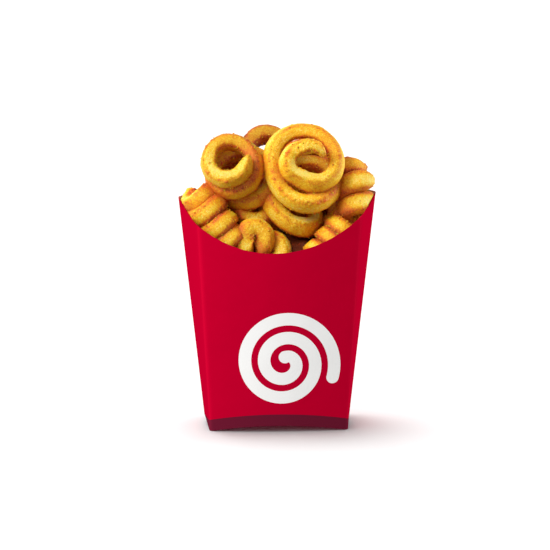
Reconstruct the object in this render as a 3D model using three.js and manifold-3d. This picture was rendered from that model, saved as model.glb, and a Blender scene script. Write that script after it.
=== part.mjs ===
// Curly fries heaped in a folded card scoop carton.
// Millimetres, +Z up, +Y away from the viewer. The numbers below count from the middle of the carton's base,
// and the finished part is moved by MIDDLE, so that its origin is on the floor under the middle of the whole.
import * as THREE from 'three';
import { mergeVertices } from 'three/addons/utils/BufferGeometryUtils.js';
import Module from 'manifold-3d';

const wasm = await Module();
wasm.setup();

// ---------------------------------------------------------------- driving dimensions

const CARD = 0.6; // thickness of the card
const CLEARANCE = 0.35; // air between the card and the fries
const OUTSIDE_TRIM = 8; // how far outside the card the curls are cut back below its edge

// The front and back panels meet the side facets at four folds; each side has a fold of its own halfway.
const FOLD = { base: 39.8, slope: 0.0557 }; // half width at the four folds
const SIDE = { base: 42.0, slope: 0.1156 }; // half width at the two side folds
const DEPTH = { base: 23.0, slope: 0.045 }; // half depth at the four folds
const BULGE = { base: 4.5, slope: 0.0075 }; // how far a panel bows out between its folds

const MOUTH = { x: -3.8, z: 103.7, leftRadius: 63, rightRadius: 69 }; // front edge, two arcs from its lowest point
const CORNER = { left: 133, right: 135.5, curl: 1.5 }; // where the side folds end
const BACK_HUMP = { rise: 19, halfWidth: 47.5 }; // the back panel stands higher in the middle
const CREASE = { frontArch: 3.8, sideRise: 5.9 }; // the bottom edge leaves the floor between the four corners
const VAULT = { height: 8, margin: 3 }; // the base is pushed up inside its margin
const MIDDLE = { x: 0.15, y: 1.3 }; // of the whole, whose back panel stands higher and further out than its front

const PANEL_COLUMNS = 28;
const FACET_COLUMNS = 3;
const BASE_RINGS = [0.35, 0.7]; // steps from the base's margin to its middle

// The bare core that the curls are sunk into.
const CORE = { shoulder: 84, top: 120, crownX: -2, crownY: 6, overBase: 1.5 };
const CORE_RINGS = [[0.86, 0.22], [0.68, 0.5], [0.42, 0.86]]; // width left, height gained

const SECTION_SIDES = 6; // sides of a strand
const STEPS_PER_TURN = 12;
const SQUARENESS = 3.1; // exponent of the strand's rounded square section
const END_TAPER = [0.6, 0.92]; // the cut ends of a strand
const LONGEST_PIECE = 0.75; // turns in one closed tube, so that no tube meets itself

// A curl is a strand that winds round a row of centres. `away` is the direction each turn faces away along,
// `radii` the radius along the strand, `start` the angle of its near end from the top, `strand` how thick the
// strand is outwards and how wide along the curl. `flare` leans the strand's section, in degrees, so that each
// turn widens away from its near end.
const CURLS = [
  { name: 'left ring',
    centres: [[-28.3, -16, 158.9], [-26.2, -9, 151.2], [-19.5, 1, 143.9], [-18.6, 9, 138.4]],
    away: [[0.08, 0.9, -0.43], [0.15, 0.75, -0.65]],
    radii: [10.6, 13.4, 12, 13.4, 13.6, 13.8, 14.6, 15, 17.2, 14.8, 15.2, 16.2, 16.8],
    turns: 3.0, start: 92, hand: 1, strand: [8.9, 10.2], flare: 12 },
  { name: 'big spiral',
    centres: [[13.4, -24, 159.6], [13.6, -17, 151.3], [12.2, -10, 147.9], [11.3, -2, 130.9], [4.6, 3, 116.7]],
    away: [[0, 0.96, -0.28], [0, 0.93, -0.35], [-0.1, 0.75, -0.65], [-0.4, 0.55, -0.72]],
    radii: [12, 6, 9, 8, 20, 22, 15, 19.5, 20, 17, 15.5, 15, 13, 13.5],
    turns: 3.4, start: 100, hand: -1, strand: [8.8, 11.8], flare: 18 },
  { name: 'behind spiral', centres: [[17.5, 6, 149.6], [17.5, 14, 146]],
    away: [[0, 0.9, -0.42], [0, 0.9, -0.42]], radii: [12.4, 12.4],
    turns: 1.4, start: 90, hand: -1, strand: [10, 10.4] },
  { name: 'back ring', centres: [[-4.8, 14, 158.4], [-5.2, 27, 155]],
    away: [[0, 0.9, -0.42], [0, 0.9, -0.42]], radii: [11.3, 11.3],
    turns: 1.7, start: 200, hand: 1, strand: [9.2, 10.4] },
  { name: 'left bundle',
    centres: [[-47.5, -3, 135], [-42.2, -9, 128.2], [-34.6, -13, 117.4], [-27.5, -14, 107.5]],
    away: [[0.72, 0.05, -0.7], [0.78, 0.05, -0.62]], radii: [5.6, 8, 8, 8],
    turns: 3.9, start: -60, hand: -1, strand: [8.2, 10.6], flare: 8 },
  { name: 'front snail', centres: [[-14.2, -19, 112], [-13.6, -14.5, 111.4]],
    away: [[0.02, 0.98, -0.2], [0.1, 0.96, -0.2]], radii: [8.5, 5.5, 4.7, 5.5, 8.5],
    turns: 0.97, start: 184, hand: 1, strand: [12, 10.4] },
  { name: 'front wedge', centres: [[-6.2, -15, 102.6], [-4, -9, 100.5]],
    away: [[0.15, 0.94, -0.25], [0.2, 0.9, -0.3]], radii: [7.2, 7.6],
    turns: 1.2, start: 200, hand: -1, strand: [11.4, 10.4], flare: 14 },
  { name: 'right stack', centres: [[45.1, -1, 141], [45.4, -6, 129.6], [44.2, -9, 118.4]],
    away: [[-0.08, -0.42, -0.9], [-0.04, -0.42, -0.9]], radii: [10.8, 6.8, 6.2, 6, 6],
    turns: 2.0, start: -80, hand: 1, strand: [8.8, 12.4] },
  { name: 'right cap', centres: [[43.5, 4, 148.6], [44.5, 1, 141.6]],
    away: [[-0.25, -0.42, -0.87], [0, -0.42, -0.9]], radii: [7.8, 6.8],
    turns: 1.0, start: 255, hand: 1, strand: [8.8, 12] },
  { name: 'right bundle', centres: [[42, -12, 119], [34.5, -13, 110], [24.8, -16, 99]],
    away: [[-0.72, 0.05, -0.7], [-0.72, 0.05, -0.7]], radii: [7.8, 7.8],
    turns: 3.1, start: 0, hand: 1, strand: [8.2, 10.4], flare: 8 },
  { name: 'shaded ring', centres: [[-13.3, -1, 128.2], [-10, 7, 122]],
    away: [[0.1, 0.92, -0.38], [0.1, 0.92, -0.38]], radii: [8.6, 8.6],
    turns: 1.6, start: 320, hand: -1, strand: [9.4, 12], flare: 18 },
  { name: 'right inner', centres: [[30, 8, 124], [30, 14, 113]],
    away: [[0.3, 0.5, -0.8], [0.3, 0.5, -0.8]], radii: [8, 8],
    turns: 1.6, start: 0, hand: 1, strand: [8.6, 9.4] },
  { name: 'deep front', centres: [[9, -6, 89], [19, -4, 89]],
    away: [[0.9, 0.1, -0.2], [0.9, 0.1, -0.2]], radii: [7.5, 7.5],
    turns: 1.8, start: 0, hand: 1, strand: [8.6, 9.4] },
  { name: 'back left', centres: [[-38, 8, 133], [-27, 15, 126], [-14, 15, 120]],
    away: [[0.7, 0.3, -0.6], [0.9, 0.1, -0.3]], radii: [8.5, 9.5],
    turns: 2.8, start: 0, hand: 1, strand: [8.6, 9.6] },
  { name: 'back right', centres: [[31, 14, 146], [21, 16, 138], [10, 16, 128]],
    away: [[-0.7, 0.3, -0.6], [-0.9, 0.1, -0.3]], radii: [9, 9.5],
    turns: 2.6, start: 0, hand: -1, strand: [8.6, 9.6] },
  { name: 'back middle', centres: [[-8, 16, 140], [0, 14, 128]],
    away: [[0.2, 0.5, -0.8], [0.2, 0.5, -0.8]], radii: [10.5, 10],
    turns: 2.0, start: 0, hand: -1, strand: [8.6, 9.6] },
  { name: 'left corner', centres: [[-45, 8, 121], [-41, 6, 108]],
    away: [[0.5, -0.1, -0.8], [0.5, -0.1, -0.8]], radii: [7, 7],
    turns: 2.0, start: 0, hand: -1, strand: [8.4, 9.6] },
  { name: 'right corner', centres: [[44, 12, 126], [34, 14, 118]],
    away: [[-0.8, 0.2, -0.5], [-0.8, 0.2, -0.5]], radii: [7.5, 7.5],
    turns: 1.8, start: 0, hand: -1, strand: [8.4, 9.6] },
];

// ---------------------------------------------------------------- carton

const taper = (size, z) => size.base + size.slope * z;

// The front edge of the mouth above the front panel.
function mouthHeight(x) {
  const radius = x < MOUTH.x ? MOUTH.leftRadius : MOUTH.rightRadius;
  return MOUTH.z + radius - Math.sqrt(radius ** 2 - (x - MOUTH.x) ** 2);
}

// The top edge of the back panel: an arch that rises from its sides to the middle.
function backHeight(x) {
  const across = Math.min(1, Math.abs(x) / BACK_HUMP.halfWidth);
  const level = THREE.MathUtils.lerp(CORNER.left, CORNER.right, (x + SIDE.base) / (2 * SIDE.base));
  return level + BACK_HUMP.rise * (1 - across ** 2);
}

// A wall runs round the carton in columns, each a straight line. `face` is -1 in front and 1 behind, `across`
// goes from -1 to 1 over the panel, `facet` from 0 at the fold to 1 at the side fold.
function column(face, across, facet) {
  const side = Math.sign(across);
  const at = (z) => {
    const panelX = across * taper(FOLD, z);
    const panelY = taper(DEPTH, z) + taper(BULGE, z) * (1 - across ** 2);
    const x = THREE.MathUtils.lerp(panelX, side * taper(SIDE, z), facet);
    return new THREE.Vector3(x, face * panelY * (1 - facet), z);
  };
  const corner = side < 0 ? CORNER.left : CORNER.right;
  const panelTop = face < 0 ? mouthHeight(across * taper(FOLD, MOUTH.z)) : backHeight(across * taper(FOLD, CORNER.left));
  const top = THREE.MathUtils.lerp(panelTop, corner, facet ** CORNER.curl);
  const bottom = CREASE.frontArch * (1 - across ** 2) + CREASE.sideRise * facet;
  return { bottom: at(bottom), top: at(top) };
}

function cartonColumns() {
  const columns = [];
  for (const face of [-1, 1]) {
    const turn = -face; // the front runs left to right and the back right to left, so the loop closes
    for (let i = 0; i < FACET_COLUMNS; i++) columns.push(column(face, -turn, 1 - i / FACET_COLUMNS));
    for (let i = 0; i < PANEL_COLUMNS; i++) columns.push(column(face, turn * (2 * i / PANEL_COLUMNS - 1), 0));
    for (let i = 0; i < FACET_COLUMNS; i++) columns.push(column(face, turn, i / FACET_COLUMNS));
  }
  return columns;
}

// Moves a closed loop of points sideways into the carton, keeping each edge's distance at the folds.
function inset(loop, distance) {
  return loop.map((point, i) => {
    const before = loop[(i + loop.length - 1) % loop.length];
    const after = loop[(i + 1) % loop.length];
    const first = new THREE.Vector2(before.y - point.y, point.x - before.x).normalize();
    const second = new THREE.Vector2(point.y - after.y, after.x - point.x).normalize();
    const middle = first.clone().add(second).normalize();
    const reach = distance / middle.dot(first);
    return new THREE.Vector3(point.x + middle.x * reach, point.y + middle.y * reach, point.z);
  });
}

const lift = (loop, height) => loop.map((p) => new THREE.Vector3(p.x, p.y, p.z + height));

// The rings of the pushed-up base, from its outer edge to just outside its middle point.
function baseRings(edge) {
  const margin = inset(edge, VAULT.margin);
  const inner = BASE_RINGS.map((step) => margin.map((p) => {
    const height = THREE.MathUtils.lerp(p.z, VAULT.height, Math.sin(step * Math.PI / 2));
    return new THREE.Vector3(p.x * (1 - step), p.y * (1 - step), height);
  }));
  return [edge, margin, ...inner];
}

// A closed body from rings of equal length: quads between neighbours and a fan at both ends.
function ringSolid(rings, firstMiddle, lastMiddle) {
  const positions = [];
  const quad = (a, b, c, d) => positions.push(...[a, b, c, a, c, d].flatMap((p) => p.toArray()));
  rings.slice(1).forEach((ring, k) => ring.forEach((p, i) => {
    const j = (i + 1) % ring.length;
    quad(rings[k][i], rings[k][j], ring[j], p);
  }));
  const fan = (ring, middle, turned) => ring.forEach((p, i) => {
    const next = ring[(i + 1) % ring.length];
    const corners = turned ? [middle, next, p] : [middle, p, next];
    positions.push(...corners.flatMap((q) => q.toArray()));
  });
  fan(rings[0], firstMiddle, true);
  fan(rings[rings.length - 1], lastMiddle, false);
  const geometry = new THREE.BufferGeometry();
  geometry.setAttribute('position', new THREE.Float32BufferAttribute(positions, 3));
  return geometry;
}

// The card shell: its outer skin `outward` mm out of the nominal wall, its inner skin `inward` mm in.
function cardShell(outward, inward) {
  const columns = cartonColumns();
  const bottom = columns.map((c) => c.bottom);
  const top = columns.map((c) => c.top);
  const outerBottom = lift(inset(bottom, -outward), -outward);
  const outerTop = lift(inset(top, -outward), outward);
  const innerTop = lift(inset(top, inward), outward);
  const innerBottom = lift(inset(bottom, inward), inward);
  const outerBase = baseRings(outerBottom).map((ring, k) => (k < 2 ? ring : lift(ring, -outward)));
  const innerBase = baseRings(innerBottom).map((ring, k) => (k < 2 ? ring : lift(ring, inward)));
  const rings = [...outerBase.reverse(), outerTop, innerTop, ...innerBase];
  const middle = (height) => new THREE.Vector3(0, 0, VAULT.height + height);
  return ringSolid(rings, middle(-outward), middle(inward));
}

// ---------------------------------------------------------------- fries

// A smooth curve through evenly spaced vectors, at t from 0 to 1.
function through(points, t) {
  const last = points.length - 1;
  if (last === 1) return points[0].clone().lerp(points[1], t);
  const k = Math.min(Math.floor(t * last), last - 1);
  const u = t * last - k;
  const before = k > 0 ? points[k - 1] : points[0].clone().multiplyScalar(2).sub(points[1]);
  const after = k + 2 <= last ? points[k + 2] : points[last].clone().multiplyScalar(2).sub(points[last - 1]);
  const blend = (a, b, c, d) => 0.5 * (2 * b + (c - a) * u + (2 * a - 5 * b + 4 * c - d) * u * u
    + (3 * b - a - 3 * c + d) * u ** 3);
  const [p, q] = [points[k], points[k + 1]];
  return new THREE.Vector3(
    blend(before.x, p.x, q.x, after.x),
    blend(before.y, p.y, q.y, after.y),
    blend(before.z, p.z, q.z, after.z),
  );
}

const vectors = (rows) => rows.map((row) => new THREE.Vector3(...row));

// Where the strand's middle runs at t, and the outward direction there.
function strandPoint(curl, t) {
  const away = through(vectors(curl.away), t).normalize();
  const top = new THREE.Vector3(0, 0, 1).addScaledVector(away, -away.z).normalize();
  const right = away.clone().cross(top);
  const angle = THREE.MathUtils.degToRad(curl.start + curl.hand * 360 * curl.turns * t);
  const outward = top.multiplyScalar(Math.cos(angle)).addScaledVector(right, Math.sin(angle));
  const radius = through(vectors(curl.radii.map((r) => [r, 0, 0])), t).x;
  const point = through(vectors(curl.centres), t).addScaledVector(outward, radius);
  return { point, outward };
}

// One ring of the strand's rounded square section.
function strandSection(curl, t, scale) {
  const nudge = 0.001;
  const { point, outward } = strandPoint(curl, t);
  const ahead = strandPoint(curl, Math.min(1, t + nudge)).point;
  const behind = strandPoint(curl, Math.max(0, t - nudge)).point;
  const along = ahead.sub(behind).normalize();
  const radial = outward.addScaledVector(along, -outward.dot(along)).normalize();
  const axial = along.clone().cross(radial);
  const lean = THREE.MathUtils.degToRad(curl.hand * (curl.flare ?? 0));
  radial.applyAxisAngle(along, lean);
  axial.applyAxisAngle(along, lean);
  const soft = (v) => Math.sign(v) * Math.abs(v) ** (2 / SQUARENESS);
  return Array.from({ length: SECTION_SIDES }, (_, i) => {
    const angle = 2 * Math.PI * i / SECTION_SIDES;
    return point.clone()
      .addScaledVector(radial, soft(Math.cos(angle)) * scale * curl.strand[0] / 2)
      .addScaledVector(axial, soft(Math.sin(angle)) * scale * curl.strand[1] / 2);
  });
}

// A curl as closed tubes end to end, each shorter than a turn.
function curlPieces(curl) {
  const steps = Math.round(curl.turns * STEPS_PER_TURN);
  const rings = Array.from({ length: steps + 1 }, (_, i) => {
    const fromEnd = Math.min(i, steps - i);
    return strandSection(curl, i / steps, END_TAPER[fromEnd] ?? 1);
  });
  const pieceSteps = Math.floor(LONGEST_PIECE * STEPS_PER_TURN);
  const pieces = [];
  for (let from = 0; from < steps; from += pieceSteps) {
    const part = rings.slice(from, from + pieceSteps + 1);
    pieces.push(ringSolid(part, ringMiddle(part[0]), ringMiddle(part[part.length - 1])));
  }
  return pieces;
}

function ringMiddle(ring) {
  return ring.reduce((sum, p) => sum.add(p), new THREE.Vector3()).divideScalar(ring.length);
}

// The bare core fills the carton up to its shoulder and rises to a low crown.
function coreGeometry() {
  const columns = cartonColumns();
  const gap = CARD + CLEARANCE;
  const wallAt = (c, z) => c.bottom.clone().lerp(c.top, (z - c.bottom.z) / (c.top.z - c.bottom.z));
  const bottom = lift(inset(columns.map((c) => c.bottom), gap), CORE.overBase);
  const shoulder = inset(columns.map((c) => wallAt(c, CORE.shoulder)), gap);
  const base = baseRings(bottom).map((ring, k) => (k < 2 ? ring : lift(ring, CORE.overBase)));
  const crown = CORE_RINGS.map(([width, gain]) => shoulder.map((p) => new THREE.Vector3(
    THREE.MathUtils.lerp(CORE.crownX, p.x, width),
    THREE.MathUtils.lerp(CORE.crownY, p.y, width),
    THREE.MathUtils.lerp(CORE.shoulder, CORE.top, gain),
  )));
  const rings = [...base.reverse(), shoulder, ...crown];
  const baseMiddle = new THREE.Vector3(0, 0, VAULT.height + CORE.overBase);
  return ringSolid(rings, baseMiddle, new THREE.Vector3(CORE.crownX, CORE.crownY, CORE.top));
}

// ---------------------------------------------------------------- joining

function toSolid(geometry) {
  const merged = mergeVertices(geometry);
  const mesh = new wasm.Mesh({
    numProp: 3,
    vertProperties: new Float32Array(merged.attributes.position.array),
    triVerts: new Uint32Array(merged.index.array),
  });
  return new wasm.Manifold(mesh);
}

function toGeometry(solid) {
  const mesh = solid.getMesh();
  const geometry = new THREE.BufferGeometry();
  geometry.setAttribute('position', new THREE.Float32BufferAttribute(mesh.vertProperties, 3));
  geometry.setIndex(new THREE.Uint32BufferAttribute(mesh.triVerts, 1));
  geometry.computeVertexNormals();
  return geometry;
}

// Keeps the largest body without its sealed hollows.
function largestBody(solid) {
  const bodies = solid.decompose().filter((body) => body.volume() > 0);
  return bodies.sort((a, b) => b.volume() - a.volume())[0];
}

function friesGeometry() {
  let heap = toSolid(coreGeometry());
  for (const curl of CURLS) {
    for (const piece of curlPieces(curl)) heap = heap.add(toSolid(piece));
  }
  const outside = toSolid(cardShell(OUTSIDE_TRIM, CARD + CLEARANCE));
  return toGeometry(largestBody(heap.subtract(outside)));
}

function cartonGeometry() {
  const geometry = mergeVertices(cardShell(0, CARD));
  geometry.computeVertexNormals();
  return geometry;
}

// ---------------------------------------------------------------- the part

const cardMaterial = new THREE.MeshStandardMaterial({ color: '#c2002c', roughness: 0.45, metalness: 0 });
const friesMaterial = new THREE.MeshStandardMaterial({ color: '#dca032', roughness: 0.7, metalness: 0 });

function named(name, geometry, material) {
  geometry.translate(-MIDDLE.x, -MIDDLE.y, 0);
  const mesh = new THREE.Mesh(geometry, material);
  mesh.name = name;
  return mesh;
}

const part = new THREE.Group();
part.add(named('carton', cartonGeometry(), cardMaterial));
part.add(named('curly_fries', friesGeometry(), friesMaterial));

export default part;
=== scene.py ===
"""Curly fries heaped in a folded card scoop carton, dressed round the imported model.

Lengths are millimetres from the middle of the carton's base, as in the source of the solids.
"""
import itertools
import math

import bpy
import numpy as np
from mathutils import Matrix, Vector


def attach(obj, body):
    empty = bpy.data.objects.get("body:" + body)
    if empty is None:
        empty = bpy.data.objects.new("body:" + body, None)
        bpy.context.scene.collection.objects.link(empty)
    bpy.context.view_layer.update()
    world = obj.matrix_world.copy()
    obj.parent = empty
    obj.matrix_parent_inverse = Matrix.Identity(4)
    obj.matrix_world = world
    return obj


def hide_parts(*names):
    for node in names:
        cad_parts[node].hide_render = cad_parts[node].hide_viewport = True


M = 0.001  # metres in a millimetre
MIDDLE = np.array([0.15, 1.3, 0.0])  # of the whole, from the middle of the base

# ---------------------------------------------------------------- sizes that the solids have too

CARD = 0.6  # thickness of the card
CLEARANCE = 0.35  # air between the card and the fries
FOLD = (39.8, 0.0557)  # half width at the four folds: at the floor, and gained with each mm up
SIDE = (42.0, 0.1156)  # half width at the two side folds
DEPTH = (23.0, 0.045)  # half depth at the four folds
BULGE = (4.5, 0.0075)  # how far a panel bows out between its folds
MOUTH = {"x": -3.8, "z": 103.7, "left_radius": 63, "right_radius": 69}  # two arcs from its lowest point
CORNER = {"left": 133, "right": 135.5, "curl": 1.5}  # where the side folds end
BACK_HUMP = {"rise": 19, "half_width": 47.5}  # the back panel stands higher in the middle
CREASE = {"front_arch": 3.8, "side_rise": 5.9}  # the bottom edge leaves the floor between the corners
VAULT = {"height": 8, "margin": 3}  # the base is pushed up inside its margin
CORE = {"shoulder": 84, "top": 120, "crown_x": -2, "crown_y": 6}  # the bare heap under the curls
SQUARENESS = 3.1  # exponent of the strand's rounded square section

# Each curl winds round its centres, and its turns face away along `away`. `radii` is its radius along the
# strand, and `start` the angle of its near end from the top. `strand` is how thick it is outwards and how
# wide along the curl. `flare` leans it so that each turn widens away from its near end, in degrees. `tips`
# are the lengths over which its two ends thin out. `tone` makes it browner, or paler below 0, and `shade`
# is the share of brown shadow mixed in.
CURLS = [
    {"name": "left_ring",
     "centres": [(-28.3, -16, 158.9), (-26.2, -9, 151.2), (-19.5, 1, 143.9), (-18.6, 9, 138.4)],
     "away": [(0.08, 0.9, -0.43), (0.15, 0.75, -0.65)],
     "radii": [10.6, 13.4, 12, 13.4, 13.6, 13.8, 14.6, 15, 17.2, 14.8, 15.2, 16.2, 16.8],
     "turns": 3.0, "start": 92, "hand": 1, "strand": (8.9, 10.2), "flare": 12, "tips": (10, 3),
     "tone": 0.05, "shade": 0.11},
    {"name": "big_spiral",
     "centres": [(13.4, -24, 159.6), (13.6, -17, 151.3), (12.2, -10, 147.9), (11.3, -2, 130.9),
                 (4.6, 3, 116.7)],
     "away": [(0, 0.96, -0.28), (0, 0.93, -0.35), (-0.1, 0.75, -0.65), (-0.4, 0.55, -0.72)],
     "radii": [12, 6, 9, 8, 20, 22, 15, 19.5, 20, 17, 15.5, 15, 13, 13.5],
     "turns": 3.4, "start": 100, "hand": -1, "strand": (8.8, 11.8), "flare": 18, "tips": (18, 3)},
    {"name": "behind_spiral", "centres": [(17.5, 6, 149.6), (17.5, 14, 146)],
     "away": [(0, 0.9, -0.42), (0, 0.9, -0.42)], "radii": [12.4, 12.4],
     "turns": 1.4, "start": 90, "hand": -1, "strand": (10, 10.4), "tips": (3, 3), "tone": 0.15},
    {"name": "back_ring", "centres": [(-4.8, 14, 158.4), (-5.2, 27, 155)],
     "away": [(0, 0.9, -0.42), (0, 0.9, -0.42)], "radii": [11.3, 11.3],
     "turns": 1.7, "start": 200, "hand": 1, "strand": (9.2, 10.4), "tips": (3, 3),
     "tone": 0.22, "shade": 0.32},
    {"name": "left_bundle",
     "centres": [(-47.5, -3, 135), (-42.2, -9, 128.2), (-34.6, -13, 117.4), (-27.5, -14, 107.5)],
     "away": [(0.72, 0.05, -0.7), (0.78, 0.05, -0.62)], "radii": [5.6, 8, 8, 8],
     "turns": 3.9, "start": -60, "hand": -1, "strand": (8.2, 10.6), "flare": 8, "tips": (4, 3),
     "tone": 0.04},
    {"name": "front_snail", "centres": [(-14.2, -19, 112), (-13.6, -14.5, 111.4)],
     "away": [(0.02, 0.98, -0.2), (0.1, 0.96, -0.2)], "radii": [8.5, 5.5, 4.7, 5.5, 8.5],
     "turns": 0.97, "start": 184, "hand": 1, "strand": (12, 10.4), "tips": (1, 1), "tone": -0.12},
    {"name": "front_wedge", "centres": [(-6.2, -15, 102.6), (-4, -9, 100.5)],
     "away": [(0.15, 0.94, -0.25), (0.2, 0.9, -0.3)], "radii": [7.2, 7.6],
     "turns": 1.2, "start": 200, "hand": -1, "strand": (11.4, 10.4), "flare": 14, "tips": (3, 3),
     "tone": -0.12},
    {"name": "right_stack", "centres": [(45.1, -1, 141), (45.4, -6, 129.6), (44.2, -9, 118.4)],
     "away": [(-0.08, -0.42, -0.9), (-0.04, -0.42, -0.9)], "radii": [10.8, 6.8, 6.2, 6, 6],
     "turns": 2.0, "start": -80, "hand": 1, "strand": (8.8, 12.4), "tips": (6, 3), "tone": -0.01},
    {"name": "right_cap", "centres": [(43.5, 4, 148.6), (44.5, 1, 141.6)],
     "away": [(-0.25, -0.42, -0.87), (0, -0.42, -0.9)], "radii": [7.8, 6.8],
     "turns": 1.0, "start": 255, "hand": 1, "strand": (8.8, 12), "tips": (15, 3), "tone": 0.07},
    {"name": "right_bundle", "centres": [(42, -12, 119), (34.5, -13, 110), (24.8, -16, 99)],
     "away": [(-0.72, 0.05, -0.7), (-0.72, 0.05, -0.7)], "radii": [7.8, 7.8],
     "turns": 3.1, "start": 0, "hand": 1, "strand": (8.2, 10.4), "flare": 8, "tips": (3, 3),
     "tone": 0.03},
    {"name": "shaded_ring", "centres": [(-13.3, -1, 128.2), (-10, 7, 122)],
     "away": [(0.1, 0.92, -0.38), (0.1, 0.92, -0.38)], "radii": [8.6, 8.6],
     "turns": 1.6, "start": 320, "hand": -1, "strand": (9.4, 12), "flare": 18, "tips": (3, 3),
     "tone": 0.05},
    {"name": "right_inner", "centres": [(30, 8, 124), (30, 14, 113)],
     "away": [(0.3, 0.5, -0.8), (0.3, 0.5, -0.8)], "radii": [8, 8],
     "turns": 1.6, "start": 0, "hand": 1, "strand": (8.6, 9.4), "tips": (3, 3), "tone": 0.1},
    {"name": "deep_front", "centres": [(9, -6, 89), (19, -4, 89)],
     "away": [(0.9, 0.1, -0.2), (0.9, 0.1, -0.2)], "radii": [7.5, 7.5],
     "turns": 1.8, "start": 0, "hand": 1, "strand": (8.6, 9.4), "tips": (3, 3), "tone": 0.15},
    {"name": "back_left", "centres": [(-38, 8, 133), (-27, 15, 126), (-14, 15, 120)],
     "away": [(0.7, 0.3, -0.6), (0.9, 0.1, -0.3)], "radii": [8.5, 9.5],
     "turns": 2.8, "start": 0, "hand": 1, "strand": (8.6, 9.6), "tips": (3, 3)},
    {"name": "back_right", "centres": [(31, 14, 146), (21, 16, 138), (10, 16, 128)],
     "away": [(-0.7, 0.3, -0.6), (-0.9, 0.1, -0.3)], "radii": [9, 9.5],
     "turns": 2.6, "start": 0, "hand": -1, "strand": (8.6, 9.6), "tips": (3, 3)},
    {"name": "back_middle", "centres": [(-8, 16, 140), (0, 14, 128)],
     "away": [(0.2, 0.5, -0.8), (0.2, 0.5, -0.8)], "radii": [10.5, 10],
     "turns": 2.0, "start": 0, "hand": -1, "strand": (8.6, 9.6), "tips": (3, 3)},
    {"name": "left_corner", "centres": [(-45, 8, 121), (-41, 6, 108)],
     "away": [(0.5, -0.1, -0.8), (0.5, -0.1, -0.8)], "radii": [7, 7],
     "turns": 2.0, "start": 0, "hand": -1, "strand": (8.4, 9.6), "tips": (3, 3)},
    {"name": "right_corner", "centres": [(44, 12, 126), (34, 14, 118)],
     "away": [(-0.8, 0.2, -0.5), (-0.8, 0.2, -0.5)], "radii": [7.5, 7.5],
     "turns": 1.8, "start": 0, "hand": -1, "strand": (8.4, 9.6), "tips": (3, 3)},
]

# ---------------------------------------------------------------- detail that only this script adds

PANEL_COLUMNS = 80
FACET_COLUMNS = 22
WALL_ROWS = 40
BASE_STEPS = (0.12, 0.3, 0.5, 0.7, 0.86)  # rings from the base's margin to its middle
FOLD_SMOOTHING = 3  # passes that round the folds
FOLD_WIDTH = 1.2  # mm over which a fold's mark fades
SHARP_EDGE = 50  # degrees: the card's rims are sharper than this, its folds are not
FAR = 99.0  # mm, more than any gap that counts

BAND = 6.6  # mm of dark print above the bottom edge
SPIRAL = {"x": 3.0, "z": 40.5, "inner": 3.5, "pitch": 11.0, "turns": 2.3, "stroke": 7.2}
# The print's colours, and `facet`, the painted shade mixed over the side facets.
PRINT_AND_SHADE = {"crimson": ((188, 0, 41), (192, 0, 43)), "band": (105, 24, 46), "spiral": (250, 249, 247),
         "facet": (130, 0, 28), "facet_shade_share": 0.26, "fold": (232, 60, 86), "fold_share": 0.03}
BARE_CARD = [(0.3, (196, 184, 160)), (0.7, (222, 213, 193))]

STRAND_STEP = 0.5  # mm along a strand between its rings
STRAND_SIDES = 48
CUT_END = 0.15  # mm of a tip's taper that its blunt end cuts off

# How uneven a strand is along its length: how much, over how many mm, and a number that sets the noise
# apart from the others.
WAVES = {
    "swell": [(0.05, 13, 0), (0.03, 5, 50)],  # shares of its thickness
    "skew": [(12, 24, 90)],  # degrees that its section leans
    "squareness": [(0.5, 17, 30)],
    "outwards": [(0.35, 11, 10)],  # mm off its path
    "sideways": [(0.45, 14, 20)],
}

# How uneven its surface is. A row of three numbers is a noise as above, and a row of two is its size and
# its own number. Heights and lengths are in mm.
RELIEF = {"lumps": [(0.3, 8, 0), (0.13, 3.2, 1), (0.12, 1.3, 2)], "edge_wear": 0.2,
          "ragged_edge": 0.95, "ragged_size": (1.7, 3), "ragged_places": (6, 4),
          "torn_end": 1.1, "torn_size": (2.1, 5), "torn_length": 3.5}

# Shares of browning and of painted shade: 0 is the palest crust, 1 the darkest.
# The inner sides, undersides, upper halves of the turns and crevices get painted shade, the lower halves of
# the turns a painted highlight.
BROWNING_AND_SHADE = {"corner": 0.3, "edge_noise": (0.12, 2.6, 6), "ragged_edge": 0.2, "inner_side_shade": 0.05,
            "underside_shade": 0.19, "shade_above_highlight_below": 0.09, "blotches": [(0.12, 13, 7), (0.05, 2.4, 8)],
            "end": 0.15, "end_length": 3, "crevice_shade": 0.42}

# A crevice deepens from `open` to `closed`, the gap in mm to the next strand. It is worked out on every
# sixth ring and every fourth side, from every third point along the middles of the strands round it. A
# strand's own turns count from `own_turns` away.
CREVICE = {"open": 7.5, "closed": -1.0, "rings": 6, "sides": 4, "line": 3, "own_turns": 0.4}
RIM_HOLD = 1.6  # mm above the card's rim where it stops holding the strands in

# `smallest` and `range` are radii in mm, and a higher `bias` makes more of the crumbs small. The last row
# is how likely each place is to hold one: a crevice deeper than `deepest` adds nothing.
CRUMBS = {"count": 5200, "seed": 11, "smallest": 0.2, "range": 0.42, "bias": 2.2, "lift": 0.12,
          "stretch": (0.6, 1.4), "lumps": (0.7, 1.25), "browning_and_shade": (0.15, 0.4),
          "anywhere": 0.12, "on_edges": 1.2, "in_crevices": 0.8, "deepest": 0.9}
# What this script's core has besides CORE: mm of air and height, and shares of its width at the shoulder.
BURIED = {"gap": 0.6, "lift": 3, "below_top": 8, "floor_width": 0.3, "crown_width": 0.06,
          "wall_rings": 12, "crown_rings": 24, "lumps": [(2.2, 9, 5), (1.2, 4, 6)],
          # The core's darkness is painted shade.
          "browning_and_shade": 1.1, "blotches": [(0.2, 5, 9)]}

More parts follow.
